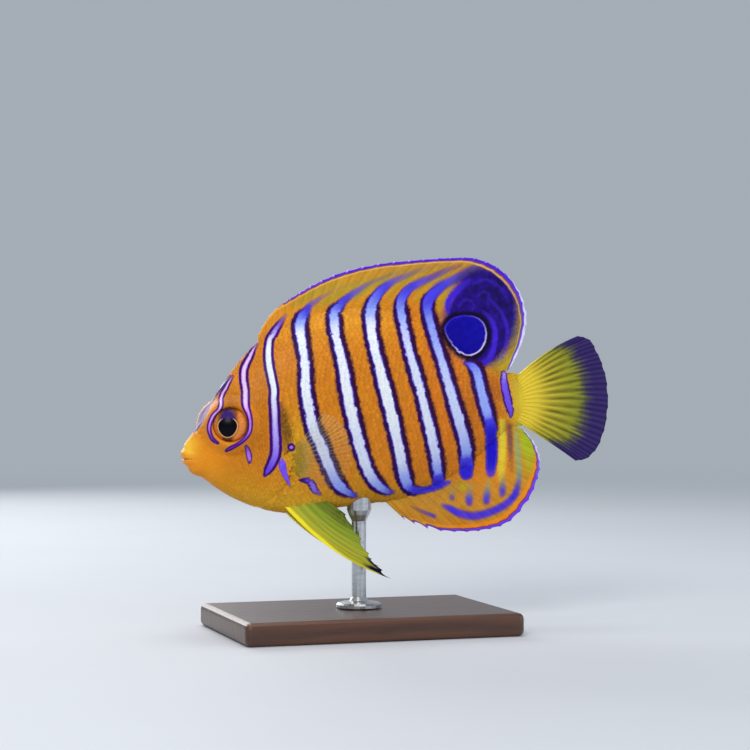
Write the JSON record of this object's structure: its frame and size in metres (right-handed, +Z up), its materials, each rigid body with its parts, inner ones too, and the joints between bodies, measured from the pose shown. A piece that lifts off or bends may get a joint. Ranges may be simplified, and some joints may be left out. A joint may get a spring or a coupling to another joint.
{
  "type": "regal angelfish on a display stand",
  "caption": "Life-size reef angelfish with tall striped body, ridged fins and rounded tail, held swimming above a flat base by a slim rod.",
  "frame": {"origin": "on the floor, under the centre of the bounding box", "axes": "the snout points to -X and the tail to +X, the fish's left side faces -Y, +Z is up"},
  "size_m": [0.1, 0.042, 0.0828],
  "materials": {
    "flesh": "satin",
    "fin": "satin",
    "clear_fin": "satin",
    "eye": "gloss",
    "steel": "satin",
    "wood": "satin"
  },
  "bodies": {
    "root": {"head": "flesh", "body": "flesh", "tail_stalk": "flesh", "dorsal_fin": "fin", "anal_fin": "fin", "tail_fin": "clear_fin", "pectoral_fin_left": "clear_fin", "pectoral_fin_right": "clear_fin", "pelvic_fin_left": "clear_fin", "pelvic_fin_right": "clear_fin", "eye_left": "eye", "eye_right": "eye", "stand_rod": "steel", "stand_base": "wood"}
  },
  "joints": []
}
